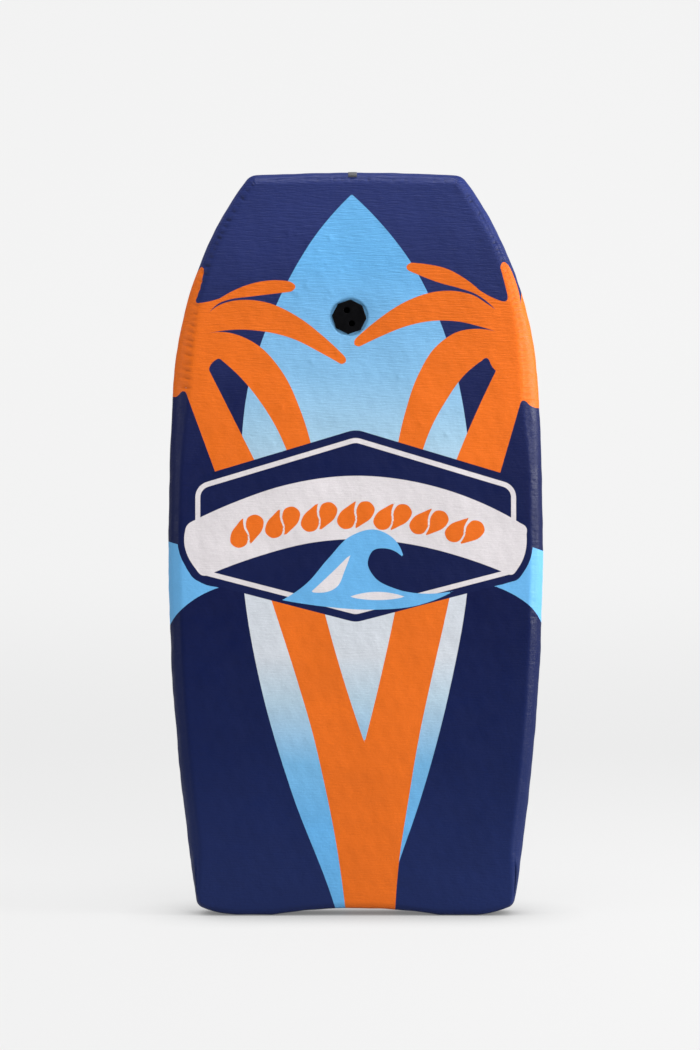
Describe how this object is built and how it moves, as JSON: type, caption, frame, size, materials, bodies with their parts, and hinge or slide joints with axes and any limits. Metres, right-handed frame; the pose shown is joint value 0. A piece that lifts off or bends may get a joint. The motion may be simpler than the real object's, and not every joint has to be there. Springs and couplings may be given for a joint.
{
  "type": "bodyboard",
  "caption": "Foam bodyboard with a printed fabric cover, a crescent tail, a lifted nose, a slick bottom sheet and a screw-in leash plug.",
  "frame": {"origin": "centre of the whole board's box, at its bottom, with the board standing on its two tail lobes", "axes": "+Z from the tail to the nose, X across the board, +Y out of the slick bottom, so the deck faces -Y"},
  "size_m": [0.47, 0.0684, 0.9265],
  "materials": {
    "core_foam": "matte",
    "cover_print": "matte",
    "slick_sheet": "satin",
    "tape_grey": "matte",
    "plug_black": "satin",
    "stem_black": "satin",
    "nut_black": "satin"
  },
  "bodies": {
    "board": {"foam_core": "core_foam", "deck_cover": "cover_print", "slick_bottom": "slick_sheet", "nose_tab": "tape_grey"},
    "plug_head": {"leash_plug_head": "plug_black", "leash_plug_stem": "stem_black"},
    "plug_nut": {"leash_plug_nut": "nut_black"}
  },
  "joints": [
    {"name": "plug_turn", "type": "hinge", "parent": "board", "child": "plug_head", "pos_m": [-0.008, -0.0203, 0.747], "axis": [0, -0.9989, -0.0469], "range_deg": [0, 1980]},
    {"name": "nut_travel", "type": "slide", "parent": "board", "child": "plug_nut", "axis": [0, 0.9989, 0.0469], "range_m": [0, 0.022]}
  ],
  "couplings": [
    {"joint": "nut_travel", "follows": "plug_turn", "m_per_rad": 0.00063662}
  ]
}
